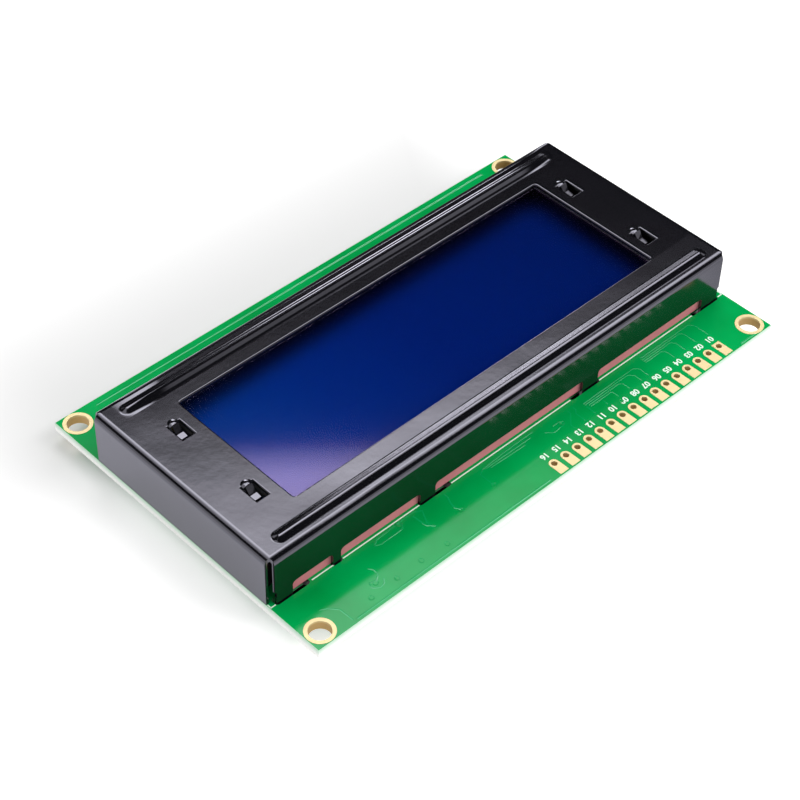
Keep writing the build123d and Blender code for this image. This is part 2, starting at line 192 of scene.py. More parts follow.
# Copper tracks: etched from the board's foil and covered by the mask, which rises over them as
# low round ridges. They run between the header and the display, in straight runs with 45 degree
# bends, and end at small vias. Each has its width and its corners, in millimetres.
TRACKS = [
    (0.25, [(33.9, 23.7), (33.4, 24.4), (33.5, 25.4), (34.4, 26.1), (35.6, 25.8), (35.9, 26.8),
            (34.9, 27.5), (33.9, 27.2), (33.4, 26.4)]),
    (0.25, [(30.3, 21.2), (29.2, 20.5), (25.1, 20.3), (24.4, 20.8), (24.9, 21.5), (29.2, 21.6),
            (30.3, 21.2)]),
    (0.25, [(25.4, 20.3), (21.6, 20.2), (20.4, 20.9), (20.9, 21.8), (21.5, 23.0), (21.6, 24.5)]),
    (0.3, [(22.2, 20.8), (22.0, 23.4), (21.0, 24.4)]),
    (0.3, [(15.8, 20.8), (15.8, 21.5), (16.3, 22.6), (16.5, 23.8), (16.0, 24.6)]),
    (0.2, [(-2.0, 21.3), (7.7, 21.2)]),
    (0.2, [(-0.4, 21.8), (6.8, 21.6)]),
    (0.2, [(-3.2, 20.6), (3.2, 20.7), (7.9, 21.0), (9.0, 21.6), (9.0, 24.3)]),
    (0.25, [(-6.3, 21.9), (-7.7, 21.9), (-8.1, 22.8), (-5.5, 23.0), (-4.4, 22.0)]),
    (0.2, [(-13.3, 21.7), (-25.0, 21.7), (-25.7, 22.4), (-25.7, 24.4)]),
    (0.2, [(-13.3, 22.1), (-23.2, 22.1), (-24.0, 22.9), (-24.0, 24.4)]),
    (0.2, [(-13.8, 22.5), (-20.8, 22.5), (-21.3, 23.0), (-21.3, 24.4)]),
    (0.2, [(-13.8, 22.9), (-18.4, 22.9), (-18.7, 23.2), (-18.7, 24.4)]),
    (0.2, [(-10.4, 21.2), (-10.4, 21.8), (-8.6, 23.6), (-8.6, 24.4)]),
    (0.2, [(-11.6, 21.2), (-11.6, 21.8), (-11.0, 22.4), (-11.0, 24.4)]),
    (0.2, [(-13.3, 22.5), (-13.3, 24.4)]),
    (0.2, [(-16.2, 23.3), (-16.2, 24.4)]),
    (0.2, [(-27.5, 20.9), (-39.0, 20.9), (-39.8, 21.7), (-39.8, 24.4)]),
    (0.2, [(-27.5, 21.3), (-36.4, 21.3), (-37.0, 21.9), (-37.0, 24.4)]),
    (0.2, [(-27.5, 21.7), (-33.8, 21.7), (-34.4, 22.3), (-34.4, 24.4)]),
    (0.2, [(-27.5, 22.1), (-31.2, 22.1), (-31.8, 22.7), (-31.8, 24.4)]),
    (0.25, [(44.1, 24.7), (43.1, 25.2), (41.9, 26.5), (41.8, 29.2)]),
    (0.3, [(-46.5, 29.5), (-42.0, 29.5)]),
    (0.3, [(2.0, 29.4), (41.2, 29.4)]),
    (0.2, [(40.0, -21.5), (8.0, -21.5), (6.5, -23.0), (-20.0, -23.0)]),
    (0.2, [(40.0, -22.2), (9.0, -22.2), (7.5, -23.7), (-20.0, -23.7)]),
    (0.3, [(-42.0, -28.8), (42.0, -28.8)]),
]
TRACK_RISE = 0.22
VIAS = [
    (37.2, 28.0), (32.0, 27.8), (27.2, 27.8), (22.2, 28.0), (34.9, 26.4), (24.8, 20.6),
    (16.1, 24.7), (9.0, 24.4), (-7.9, 22.4), (31.0, -22.0), (-20.5, -23.0), (-20.5, -23.7),
]
VIA_R, VIA_WALL, VIA_H = 0.42 * MM, 0.17 * MM, 0.4 * MM
VIA_DIP = 0.35 * MM


def join(pieces, name):
    bpy.ops.object.select_all(action="DESELECT")
    for piece in pieces:
        piece.select_set(True)
    bpy.context.view_layer.objects.active = pieces[0]
    bpy.ops.object.join()
    pieces[0].name = name
    return pieces[0]


def settle(piece, material):
    piece.data.materials.clear()
    piece.data.materials.append(material)
    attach(piece, "root")
    piece.select_set(False)


runs = []
for width, points in TRACKS:
    x, y = points[0]
    bpy.ops.mesh.primitive_plane_add(size=0.1 * MM, location=(x * MM, y * MM, BOARD_TOP))
    run = bpy.context.object
    bpy.ops.object.mode_set(mode="EDIT")
    bpy.ops.mesh.merge(type="CENTER")
    for (x0, y0), (x1, y1) in zip(points[:-1], points[1:]):
        bpy.ops.mesh.extrude_region_move(
            TRANSFORM_OT_translate={"value": ((x1 - x0) * MM, (y1 - y0) * MM, 0)},
        )
    bpy.ops.object.mode_set(mode="OBJECT")
    bpy.ops.object.convert(target="CURVE")
    run.data.bevel_depth = width / 2 * MM
    run.data.bevel_resolution = 1
    run.data.use_fill_caps = True
    bpy.ops.object.convert(target="MESH")
    runs.append(bpy.context.object)
for x, y in VIAS:
    bpy.ops.mesh.primitive_cylinder_add(
        vertices=24, radius=VIA_R, depth=VIA_H, location=(x * MM, y * MM, BOARD_TOP),
    )
    via = bpy.context.object
    bpy.ops.object.mode_set(mode="EDIT")
    edit = bmesh.from_edit_mesh(via.data)
    for face in edit.faces:
        face.select = face.normal.z > 0.9
    bpy.ops.mesh.inset(thickness=VIA_WALL)
    bpy.ops.transform.translate(value=(0, 0, -VIA_DIP))
    bpy.ops.object.mode_set(mode="OBJECT")
    runs.append(via)
tracks = join(runs, "board_tracks")
bpy.ops.object.transform_apply(location=True, rotation=True, scale=True)
bpy.ops.object.mode_set(mode="EDIT")
bpy.ops.mesh.select_all(action="SELECT")
bpy.ops.transform.resize(value=(1, 1, TRACK_RISE), center_override=(0, 0, BOARD_TOP))
bpy.ops.object.mode_set(mode="OBJECT")
bpy.ops.object.shade_smooth_by_angle(angle=math.radians(50))

# Solder mask over copper: the same glossy green, a little lighter because copper shines through.
mask_on_copper = blank("glossy green solder mask over copper")
shader = add(
    mask_on_copper, "ShaderNodeBsdfPrincipled",
    {"Base Color": linear("#06A258"), "Roughness": 0.08, "IOR": 1.45},
)
add(mask_on_copper, "ShaderNodeOutputMaterial", links={"Surface": shader.outputs[0]})
settle(tracks, mask_on_copper)

# Silkscreen: white epoxy ink printed on the mask. Thin lines mark the bezel's outline, two corner
# marks stand at its ends, and plain numbers from 01 to 16 name the header's holes. Each line has
# its two ends along x and its two sides along y, in millimetres.
INK_T = 0.02 * MM
HEADER_X, HEADER_PITCH, HEADER_COUNT = -38.9 * MM, 2.54 * MM, 16
NUMBER_Y, NUMBER_SIZE, NUMBER_STROKE = 25.45 * MM, 1.45 * MM, 0.045 * MM
LINES = [
    (37.0, 41.15, 19.75, 19.95), (20.0, 35.2, 19.75, 19.95), (-12.5, 13.4, 19.75, 19.95),
    (-41.2, -19.05, 19.75, 19.95), (-47.79, -48.93, 19.62, 19.82),
    (-48.93, -48.73, 18.43, 19.72), (47.9, 48.9, 19.7, 19.88), (48.7, 48.88, 19.0, 19.8),
]
marks = []
for x0, x1, y0, y1 in LINES:
    middle = ((x0 + x1) / 2 * MM, (y0 + y1) / 2 * MM, BOARD_TOP)
    bpy.ops.mesh.primitive_plane_add(size=1, location=middle)
    line = bpy.context.object
    bpy.ops.object.mode_set(mode="EDIT")
    bpy.ops.transform.resize(value=(abs(x1 - x0) * MM, abs(y1 - y0) * MM, 1))
    bpy.ops.mesh.extrude_region_move(TRANSFORM_OT_translate={"value": (0, 0, INK_T)})
    bpy.ops.mesh.select_all(action="SELECT")
    bpy.ops.mesh.normals_make_consistent(inside=False)
    bpy.ops.object.mode_set(mode="OBJECT")
    marks.append(line)
for number in range(1, HEADER_COUNT + 1):
    x = HEADER_X + HEADER_PITCH * (number - 1)
    bpy.ops.object.text_add(location=(0, 0, 0))
    digits = bpy.context.object
    digits.data.body = f"{number:02d}"
    digits.data.size = NUMBER_SIZE
    digits.data.align_x = "CENTER"
    digits.data.align_y = "CENTER"
    digits.data.extrude = INK_T / 2
    digits.data.offset = NUMBER_STROKE
    bpy.ops.object.convert(target="MESH")
    digits = bpy.context.object
    digits.location = (x, NUMBER_Y, BOARD_TOP + INK_T / 2)
    marks.append(digits)
silk = join(marks, "board_silkscreen")
bpy.ops.object.transform_apply(location=True, rotation=True, scale=True)

# Matt white ink: thin enough that the green below gives it a mint tint.
silk_ink = blank("matt white screen ink")
shader = add(
    silk_ink, "ShaderNodeBsdfPrincipled",
    {"Base Color": linear("#E4FAEA"), "Roughness": 0.6, "IOR": 1.45},
)
add(silk_ink, "ShaderNodeOutputMaterial", links={"Surface": shader.outputs[0]})
settle(silk, silk_ink)

# Plated holes: copper barrels with flat rings and long pads on both faces, left free of mask and
# flashed with gold. The plating is matt and pale on the faces. Down the barrels its colour is
# painted deeper, a painted shade for the gold mirroring itself there.
gold_flash = blank("immersion gold over copper")
place = add(gold_flash, "ShaderNodeTexCoord")
axes = add(gold_flash, "ShaderNodeSeparateXYZ", links={0: place.outputs["Object"]})
barrel_shade_ramp = add(
    gold_flash, "ShaderNodeMapRange",
    {
        "interpolation_type": "SMOOTHSTEP",
        "From Min": BOARD_TOP - 0.5 * MM, "From Max": BOARD_TOP - 0.05 * MM,
    },
    {"Value": axes.outputs["Z"]},
)
# Painted shade: the gold is painted deeper in colour down the barrels.
gold_colour = add(
    gold_flash, "ShaderNodeMix",
    {"data_type": "RGBA", 6: linear("#C6A566"), 7: linear("#DDCB94")},
    {0: barrel_shade_ramp.outputs["Result"]},
)
grain = add(
    gold_flash, "ShaderNodeTexNoise", {"Scale": 1 / (0.4 * MM), "Detail": 2.0},
    {"Vector": place.outputs["Object"]},
)
matt = add(
    gold_flash, "ShaderNodeMapRange", {"To Min": 0.4, "To Max": 0.6},
    {"Value": grain.outputs["Fac"]},
)
shader = add(
    gold_flash, "ShaderNodeBsdfPrincipled", {"Metallic": 0.5},
    {"Base Color": gold_colour.outputs[2], "Roughness": matt.outputs["Result"]},
)
add(gold_flash, "ShaderNodeOutputMaterial", links={"Surface": shader.outputs[0]})
dress("mounting_rings", gold_flash)
dress("header_pads", gold_flash)

# Backlight: a black moulded tray that carries the glass, with white reflector film on its floor,
# a clear acrylic light guide, a frosted diffuser, and a strip of LEDs at one end. The tray's
# plastic is dull, so the slit at the bezel's corner looks black.
black_tray = blank("matt black moulded plastic")
shader = add(
    black_tray, "ShaderNodeBsdfPrincipled",
    {"Base Color": linear("#060607"), "Roughness": 0.7, "IOR": 1.46},
)
add(black_tray, "ShaderNodeOutputMaterial", links={"Surface": shader.outputs[0]})
dress("backlight_frame", black_tray)

# White film: filled polyester that scatters light, so it has no gloss.
white_film = blank("white reflector film")
shader = add(
    white_film, "ShaderNodeBsdfPrincipled",
    {"Base Color": linear("#ECECEC"), "Roughness": 0.8, "IOR": 1.5},
)
add(white_film, "ShaderNodeOutputMaterial", links={"Surface": shader.outputs[0]})
dress("reflector_sheet", white_film)
dress("led_board", white_film)

# Diffuser film: frosted on both faces. Its colour is painted grey, a painted shade because the
# light below it is off.
frosted_film = blank("frosted diffuser film")
shader = add(
    frosted_film, "ShaderNodeBsdfPrincipled",
    {"Base Color": linear("#55555C"), "Roughness": 0.6, "IOR": 1.5},
)
add(frosted_film, "ShaderNodeOutputMaterial", links={"Surface": shader.outputs[0]})
dress("diffuser_sheet", frosted_film)

# Moulded acrylic: clear, with polished faces.
acrylic = blank("clear moulded acrylic")
shader = add(
    acrylic, "ShaderNodeBsdfPrincipled",
    {"Base Color": linear("#F4F8F8"), "Roughness": 0.1, "IOR": 1.49, "Transmission Weight": 0.9},
)
add(acrylic, "ShaderNodeOutputMaterial", links={"Surface": shader.outputs[0]})
dress("light_guide", acrylic)

# LED packages: white resin filled with yellow phosphor gel.
phosphor = blank("yellow phosphor gel")
shader = add(
    phosphor, "ShaderNodeBsdfPrincipled",
    {"Base Color": linear("#E8D870"), "Roughness": 0.35, "IOR": 1.45},
)
add(phosphor, "ShaderNodeOutputMaterial", links={"Surface": shader.outputs[0]})
dress("leds", phosphor)

# Leads and their joints: tinned wire, and solder that has set with a bright skin.
tin = blank("bright tin solder")
shader = add(
    tin, "ShaderNodeBsdfPrincipled",
    {"Base Color": linear("#C9CBCC"), "Roughness": 0.28, "Metallic": 1.0},
)
add(tin, "ShaderNodeOutputMaterial", links={"Surface": shader.outputs[0]})
dress("backlight_leads", tin)
dress("lead_solder", tin)

# Liquid crystal cell: two sheets of thin float glass with a sealed gap, and a polariser film
# glued on each outer face. Clear glass lets the eye through to the blue film behind it.
WINDOW_HALF_L = 38 * MM

# Rear polariser: dyed film, a deep blue, painted lighter towards the header's last hole as a
# painted glare. It lies deep enough for the bezel to shade it along the window's far side and
# right end, and that shade is also painted into its colour there.
film_blue = blank("deep blue polariser film")
place = add(film_blue, "ShaderNodeTexCoord")
axes = add(film_blue, "ShaderNodeSeparateXYZ", links={0: place.outputs["Object"]})
along = add(
    film_blue, "ShaderNodeMapRange", {"From Min": -WINDOW_HALF_L, "From Max": WINDOW_HALF_L},
    {"Value": axes.outputs["X"]},
)
# Painted light: the blue is painted lighter towards the header's last hole.
tint = add(film_blue, "ShaderNodeValToRGB", links={"Fac": along.outputs["Result"]})
tint.color_ramp.elements[0].color = linear("#001F66")
tint.color_ramp.elements[1].color = linear("#003F95")
for position, colour in ((0.5, "#002475"), (0.75, "#002F86")):
    tint.color_ramp.elements.new(position).color = linear(colour)
# Painted shade: along the window's far side and right end the film is painted towards black, as the
# bezel's shade.
edge_painted_shade = None
for axis, dark_at, lit_from in (("Y", -15.3, -8.6), ("X", -41.0, -32.5)):
    rise = add(
        film_blue, "ShaderNodeMapRange",
        {
            "interpolation_type": "SMOOTHSTEP",
            "From Min": dark_at * MM, "From Max": lit_from * MM, "To Min": 0.08,
        },
        {"Value": axes.outputs[axis]},
    )
    if edge_painted_shade:
        rise = add(
            film_blue, "ShaderNodeMath", {"operation": "MULTIPLY"},
            {0: edge_painted_shade.outputs[0], 1: rise.outputs[0]},
        )
    edge_painted_shade = rise
film_colour = add(
    film_blue, "ShaderNodeMix", {"data_type": "RGBA", 6: linear("#000000")},
    {0: edge_painted_shade.outputs[0], 7: tint.outputs["Color"]},
)
shader = add(
    film_blue, "ShaderNodeBsdfPrincipled", {"Roughness": 0.5, "Specular IOR Level": 0.0},
    {"Base Color": film_colour.outputs[2]},
)
add(film_blue, "ShaderNodeOutputMaterial", links={"Surface": shader.outputs[0]})
dress("rear_polariser", film_blue)

# Thin glass: clear through its faces, and dark at its ground edges.
clear_glass = blank("clear thin float glass")
see = add(clear_glass, "ShaderNodeBsdfTransparent", {"Color": linear("#FDFFFE")})
facing = add(clear_glass, "ShaderNodeNewGeometry")
parts = add(clear_glass, "ShaderNodeSeparateXYZ", links={0: facing.outputs["Normal"]})
edge = add(
    clear_glass, "ShaderNodeMath", {"operation": "COMPARE", 1: 0.0, 2: 0.5},
    {0: parts.outputs["Z"]},
)
ground = add(
    clear_glass, "ShaderNodeBsdfPrincipled",
    {"Base Color": linear("#121614"), "Roughness": 0.45, "IOR": 1.5},
)
whole = add(
    clear_glass, "ShaderNodeMixShader",
    links={"Fac": edge.outputs[0], 1: see.outputs[0], 2: ground.outputs[0]},
)
add(clear_glass, "ShaderNodeOutputMaterial", links={"Surface": whole.outputs[0]})
dress("front_glass", clear_glass)
dress("rear_glass", clear_glass)

# Front polariser: smooth polyester face with a hard coat that mirrors the room with a lilac cast.
film_face = blank("hard-coated polariser film")
see = add(film_face, "ShaderNodeBsdfTransparent", {"Color": linear("#F4F6FF")})
gloss = add(film_face, "ShaderNodeBsdfAnisotropic", {"Color": linear("#E3CBEB"), "Roughness": 0.05})
mirror = add(film_face, "ShaderNodeFresnel", {"IOR": 2.0})
both = add(
    film_face, "ShaderNodeMixShader",
    links={"Fac": mirror.outputs[0], 1: see.outputs[0], 2: gloss.outputs[0]},
)
add(film_face, "ShaderNodeOutputMaterial", links={"Surface": both.outputs[0]})
dress("front_polariser", film_face)

# The clear layers cast no shadow on the film behind them.
for node in ("front_polariser", "front_glass", "rear_glass"):
    cad[node].visible_shadow = False
    cad[node].visible_diffuse = False

# Seal and plug: cured resin that joins the glass edges and closes the fill port.
seal_resin = blank("cured sealing resin")
shader = add(
    seal_resin, "ShaderNodeBsdfPrincipled",
    {"Base Color": linear("#35342F"), "Roughness": 0.5, "IOR": 1.5},
)
add(seal_resin, "ShaderNodeOutputMaterial", links={"Surface": shader.outputs[0]})
dress("cell_seal", seal_resin)
dress("fill_port_plug", seal_resin)

# Elastomeric connectors: strips of layered carbon and silicone between two dull pink silicone
# sides, squeezed between the board and the glass. The pink is mottled over a few millimetres.
pink_silicone = blank("dull pink silicone rubber")
place = add(pink_silicone, "ShaderNodeTexCoord")
mottle = add(
    pink_silicone, "ShaderNodeTexNoise", {"Scale": 1 / (2.86 * MM), "Detail": 3.0},
    {"Vector": place.outputs["Object"]},
)
pink = add(
    pink_silicone, "ShaderNodeMix",
    {"data_type": "RGBA", 6: linear("#C9767E"), 7: linear("#D88A90")},
    {0: mottle.outputs["Fac"]},
)
shader = add(
    pink_silicone, "ShaderNodeBsdfPrincipled", {"Roughness": 0.75, "IOR": 1.41},
    {"Base Color": pink.outputs[2]},
)
add(pink_silicone, "ShaderNodeOutputMaterial", links={"Surface": shader.outputs[0]})
dress("connector_sides", pink_silicone)

# Zebra rubber: conducting and clear layers in turn, 0.2 mm apart, which is a third of the wave's
# size. They are drawn coarser than the real ones, so that the eye can tell them apart.
zebra = blank("layered carbon and silicone rubber")
place = add(zebra, "ShaderNodeTexCoord")
layers = add(
    zebra, "ShaderNodeTexWave", {"Scale": 1 / (0.625 * MM), "bands_direction": "X"},
    {"Vector": place.outputs["Object"]},
)
grey = add(
    zebra, "ShaderNodeMix", {"data_type": "RGBA", 6: linear("#0C0C0C"), 7: linear("#5A5654")},
    {0: layers.outputs["Fac"]},
)
shader = add(
    zebra, "ShaderNodeBsdfPrincipled", {"Roughness": 0.7, "IOR": 1.41},
    {"Base Color": grey.outputs[2]},
)
add(zebra, "ShaderNodeOutputMaterial", links={"Surface": shader.outputs[0]})
dress("connector_cores", zebra)

# Bezel: one sheet of steel, stamped, pressed, folded and painted. Its feet pass through the
# board's slots and are twisted to hold it down.
NEAR_BEAD_Y, BEAD_HALF_RUN = 17.1 * MM, 44.45 * MM

# Black stoved enamel: deep gloss that mirrors the room, over faint orange peel of about 1 mm and
# slow waves of about 11 mm from pressing.
black_paint = blank("black stoved enamel on steel")
place = add(black_paint, "ShaderNodeTexCoord")
axes = add(black_paint, "ShaderNodeSeparateXYZ", links={0: place.outputs["Object"]})
peel = add(
    black_paint, "ShaderNodeTexNoise", {"Scale": 1 / (1.11 * MM), "Detail": 2.0},
    {"Vector": place.outputs["Object"]},
)
waves = add(
    black_paint, "ShaderNodeTexNoise", {"Scale": 1 / (11.1 * MM), "Detail": 1.0},
    {"Vector": place.outputs["Object"]},
)
half_x = add(black_paint, "ShaderNodeMath", {"operation": "ABSOLUTE"}, {0: axes.outputs["X"]})
past_run = add(
    black_paint, "ShaderNodeMath", {"operation": "SUBTRACT", 1: BEAD_HALF_RUN},
    {0: half_x.outputs[0]},
)
past_end = add(
    black_paint, "ShaderNodeMath", {"operation": "MAXIMUM", 1: 0.0}, {0: past_run.outputs[0]},
)
off_line = add(
    black_paint, "ShaderNodeMath", {"operation": "SUBTRACT", 1: NEAR_BEAD_Y},
    {0: axes.outputs["Y"]},
)
offset = add(
    black_paint, "ShaderNodeCombineXYZ",
    links={"X": past_end.outputs[0], "Y": off_line.outputs[0]},
)
from_bead = add(
    black_paint, "ShaderNodeVectorMath", {"operation": "LENGTH"}, {0: offset.outputs[0]},
)

# What pressing adds to the plain form, in millimetres: the near strip falls towards its fold
# except at the left end, the near bead has a sharper crest, and the far bead a steeper inner
# side. Each is a product of ramps from nothing to full height.
relief = None
for ramps in (
    (
        (axes.outputs["Y"], "LINEAR", 12.9, 19.5, -0.26),
        (axes.outputs["X"], "SMOOTHSTEP", 42, 28, 1),
    ),
    ((from_bead.outputs["Value"], "LINEAR", 1.2, 0.25, 0.26),),
    (
        (axes.outputs["Y"], "LINEAR", -15.3, -16.9, 0.9),
        (axes.outputs["Y"], "SMOOTHSTEP", -19.8, -18.8, 1),
        (half_x.outputs[0], "SMOOTHSTEP", 46, 37, 1),
    ),
):
    form = None
    for value, kind, none_at, full_at, height in ramps:
        ramp = add(
            black_paint, "ShaderNodeMapRange",
            {
                "interpolation_type": kind,
                "From Min": none_at * MM, "From Max": full_at * MM, "To Max": height,
            },
            {"Value": value},
        )
        if form:
            ramp = add(
                black_paint, "ShaderNodeMath", {"operation": "MULTIPLY"},
                {0: form.outputs[0], 1: ramp.outputs[0]},
            )
        form = ramp
    if relief:
        form = add(
            black_paint, "ShaderNodeMath", {"operation": "ADD"},
            {0: relief.outputs[0], 1: form.outputs[0]},
        )
    relief = form
drawn = add(
    black_paint, "ShaderNodeBump", {"Strength": 1.0, "Distance": MM}, {"Height": relief.outputs[0]},
)
peeled = add(
    black_paint, "ShaderNodeBump", {"Strength": 0.25, "Distance": 0.02 * MM},
    {"Height": peel.outputs["Fac"], "Normal": drawn.outputs["Normal"]},
)
pressed = add(
    black_paint, "ShaderNodeBump", {"Strength": 0.5, "Distance": 0.1 * MM},
    {"Height": waves.outputs["Fac"], "Normal": peeled.outputs["Normal"]},
)
shader = add(
    black_paint, "ShaderNodeBsdfPrincipled",
    {"Base Color": linear("#0C0C10"), "Roughness": 0.13, "IOR": 1.8},
    {"Normal": pressed.outputs["Normal"]},
)
add(black_paint, "ShaderNodeOutputMaterial", links={"Surface": shader.outputs[0]})
dress("bezel", black_paint)

# Chips on the back: bare silicon dies glued and wired to the board under drops of black epoxy
# that flow out and set, and small ceramic resistors and capacitors soldered beside them.
bare_silicon = blank("polished silicon")
shader = add(
    bare_silicon, "ShaderNodeBsdfPrincipled",
    {"Base Color": linear("#77777C"), "Roughness": 0.2, "Metallic": 0.6},
)
add(bare_silicon, "ShaderNodeOutputMaterial", links={"Surface": shader.outputs[0]})
dress("controller_die", bare_silicon)
dress("driver_dies", bare_silicon)

# Poured epoxy: sets with a satin skin that is uneven over some 2 mm.
poured_epoxy = blank("poured black epoxy")
place = add(poured_epoxy, "ShaderNodeTexCoord")
skin = add(
    poured_epoxy, "ShaderNodeTexNoise", {"Scale": 1 / (2 * MM), "Detail": 3.0},
    {"Vector": place.outputs["Object"]},
)
uneven = add(
    poured_epoxy, "ShaderNodeBump", {"Strength": 0.3, "Distance": 0.06 * MM},
    {"Height": skin.outputs["Fac"]},
)
shader = add(
    poured_epoxy, "ShaderNodeBsdfPrincipled",
    {"Base Color": linear("#101012"), "Roughness": 0.35, "IOR": 1.55},
    {"Normal": uneven.outputs["Normal"]},
)
add(poured_epoxy, "ShaderNodeOutputMaterial", links={"Surface": shader.outputs[0]})
dress("controller_blob", poured_epoxy)
dress("driver_blobs", poured_epoxy)

# Chip parts: fired ceramic, black and glazed on the resistors, and bare brown on the capacitors.
for node, name, body in (
    ("chip_resistors", "black glazed ceramic chip", "#151515"),
    ("chip_capacitors", "brown ceramic chip", "#9A7853"),
):
    ceramic = blank(name)
    shader = add(
        ceramic, "ShaderNodeBsdfPrincipled",
        {"Base Color": linear(body), "Roughness": 0.35, "IOR": 1.55},
    )
    add(ceramic, "ShaderNodeOutputMaterial", links={"Surface": shader.outputs[0]})
    dress(node, ceramic)

# Studio: the module lies on a white table in a white surround. What shines mirrors a few patches
# of light instead: a soft box whose lower edge runs level, a low window behind the module, and a
# low bright wall on its other sides. Near is the header's side of the module, and left is its
# left end as the camera sees it. Each limit has a direction, and how far towards it the light
# starts and is full.
UP, DOWN = (0, 0, 1), (0, 0, -1)
LEFT, RIGHT = (1, 0, 0), (-1, 0, 0)
NEAR, FAR = (0, 1, 0), (0, -1, 0)
FRONT, BEHIND = (1, 1, 0), (-1, -1, 0)
SOFT_BOX_EDGE = ((UP, 0.7185, 0.7205), (FAR, -0.10, 0.12))
SOFT_BOX_INNER = ((UP, 0.722, 0.728), (FAR, -0.10, 0.12), (RIGHT, -0.30, 0.15))
SOFT_BOX_NEAR = ((UP, 0.72, 0.75), (FAR, -0.36, -0.06), (NEAR, -0.20, 0.02), (RIGHT, 0.45, 0.53))
SOFT_BOX_MIDDLE = ((UP, 0.755, 0.775), (FAR, 0.02, 0.24), (RIGHT, -0.20, 0.15))
LOW_WINDOW = ((DOWN, -0.42, -0.22), (UP, 0.04, 0.13), (BEHIND, 0.9, 1.1))
LEFT_PANE = ((RIGHT, 0.44, 0.50), (LEFT, -0.60, -0.56))
RIGHT_PANE = ((RIGHT, 0.55, 0.59), (LEFT, -0.70, -0.64))
FRONT_WALL = ((DOWN, -0.42, -0.28), (FRONT, -1.10, -0.70))
scene = bpy.context.scene
scene.view_settings.view_transform = "Standard"
surround = bpy.data.worlds.new("studio_surround")
scene.world = surround
surround.use_nodes = True
surround.node_tree.nodes.clear()
ray = add(surround, "ShaderNodeLightPath")
where = add(surround, "ShaderNodeTexCoord")
total = None
for strength, limits in (
    (1.5, SOFT_BOX_EDGE),
    (1.8, SOFT_BOX_INNER),
    (4.5, SOFT_BOX_NEAR),
    (3.0, SOFT_BOX_MIDDLE),
    (9.0, LOW_WINDOW + LEFT_PANE),
    (3.0, LOW_WINDOW + RIGHT_PANE),
    (1.2, FRONT_WALL),
):
    patch = None
    for direction, dark_at, lit_from in limits:
        along = add(
            surround, "ShaderNodeVectorMath", {"operation": "DOT_PRODUCT", 1: direction},
            {0: where.outputs["Generated"]},
        )
        limit = add(
            surround, "ShaderNodeMapRange",
            {
                "interpolation_type": "SMOOTHSTEP",
                "From Min": dark_at, "From Max": lit_from, "To Max": 1.0 if patch else strength,
            },
            {"Value": along.outputs["Value"]},
        )
        if patch:
            limit = add(
                surround, "ShaderNodeMath", {"operation": "MULTIPLY"},
                {0: patch.outputs[0], 1: limit.outputs[0]},
            )
        patch = limit
    if total:
        patch = add(
            surround, "ShaderNodeMath", {"operation": "ADD"},
            {0: total.outputs[0], 1: patch.outputs[0]},
        )
    total = patch
soft = add(surround, "ShaderNodeBackground", {"Color": linear("#FFFFFF"), "Strength": 0.85})
shine = add(
    surround, "ShaderNodeBackground", {"Color": linear("#F0EEFF")}, {"Strength": total.outputs[0]},
)
plain = add(surround, "ShaderNodeBackground", {"Color": linear("#FFFFFF"), "Strength": 1.0})
lit = add(
    surround, "ShaderNodeMixShader",
    links={"Fac": ray.outputs["Is Glossy Ray"], 1: soft.outputs[0], 2: shine.outputs[0]},
)
seen = add(
    surround, "ShaderNodeMath", {"operation": "MAXIMUM"},
    {0: ray.outputs["Is Camera Ray"], 1: ray.outputs["Is Transmission Ray"]},
)
whole = add(
    surround, "ShaderNodeMixShader",
    links={"Fac": seen.outputs[0], 1: lit.outputs[0], 2: plain.outputs[0]},
)
add(surround, "ShaderNodeOutputWorld", links={"Surface": whole.outputs[0]})

# Table: matt white card. Below the bezel its colour is painted black, a painted shade where no
# light gets in. For the camera it glows a little, a painted light that is strongest on the near
# side and right and is cut back at the far side and left as a painted shadow. What shines mirrors
# only its front part, with a painted lilac tint and a painted glow.
bpy.ops.mesh.primitive_plane_add(size=4, location=(0, 0, cad_low.z - 0.05 * MM))
table = bpy.context.object
table.name = "table"
table_white = blank("matt white card")
ray = add(table_white, "ShaderNodeLightPath")
place = add(table_white, "ShaderNodeTexCoord")
axes = add(table_white, "ShaderNodeSeparateXYZ", links={0: place.outputs["Object"]})
reach = add(
    table_white, "ShaderNodeVectorMath", {"operation": "ABSOLUTE"}, {0: place.outputs["Object"]},
)
span = add(table_white, "ShaderNodeSeparateXYZ", links={0: reach.outputs[0]})
open_air = None
for axis, dark_at, open_from in (("Y", 18, 24), ("X", 45, 48)):
    rise = add(
        table_white, "ShaderNodeMapRange",
        {
            "interpolation_type": "SMOOTHSTEP",
            "From Min": dark_at * MM, "From Max": open_from * MM,
        },
        {"Value": span.outputs[axis]},
    )
    if open_air:
        rise = add(
            table_white, "ShaderNodeMath", {"operation": "MAXIMUM"},
            {0: open_air.outputs[0], 1: rise.outputs[0]},
        )
    open_air = rise
forward = add(
    table_white, "ShaderNodeMath", {"operation": "ADD"},
    {0: axes.outputs["X"], 1: axes.outputs["Y"]},
)
front_part = add(
    table_white, "ShaderNodeMapRange",
    {"interpolation_type": "SMOOTHSTEP", "From Min": -60 * MM, "From Max": 0.0, "To Min": 0.05},
    {"Value": forward.outputs[0]},
)
mirrored = add(
    table_white, "ShaderNodeMix", {"data_type": "FLOAT", 2: 1.0},
    {0: ray.outputs["Is Glossy Ray"], 3: front_part.outputs["Result"]},
)
shade_paint_mask = add(
    table_white, "ShaderNodeMath", {"operation": "MULTIPLY"},
    {0: mirrored.outputs[0], 1: open_air.outputs[0]},
)
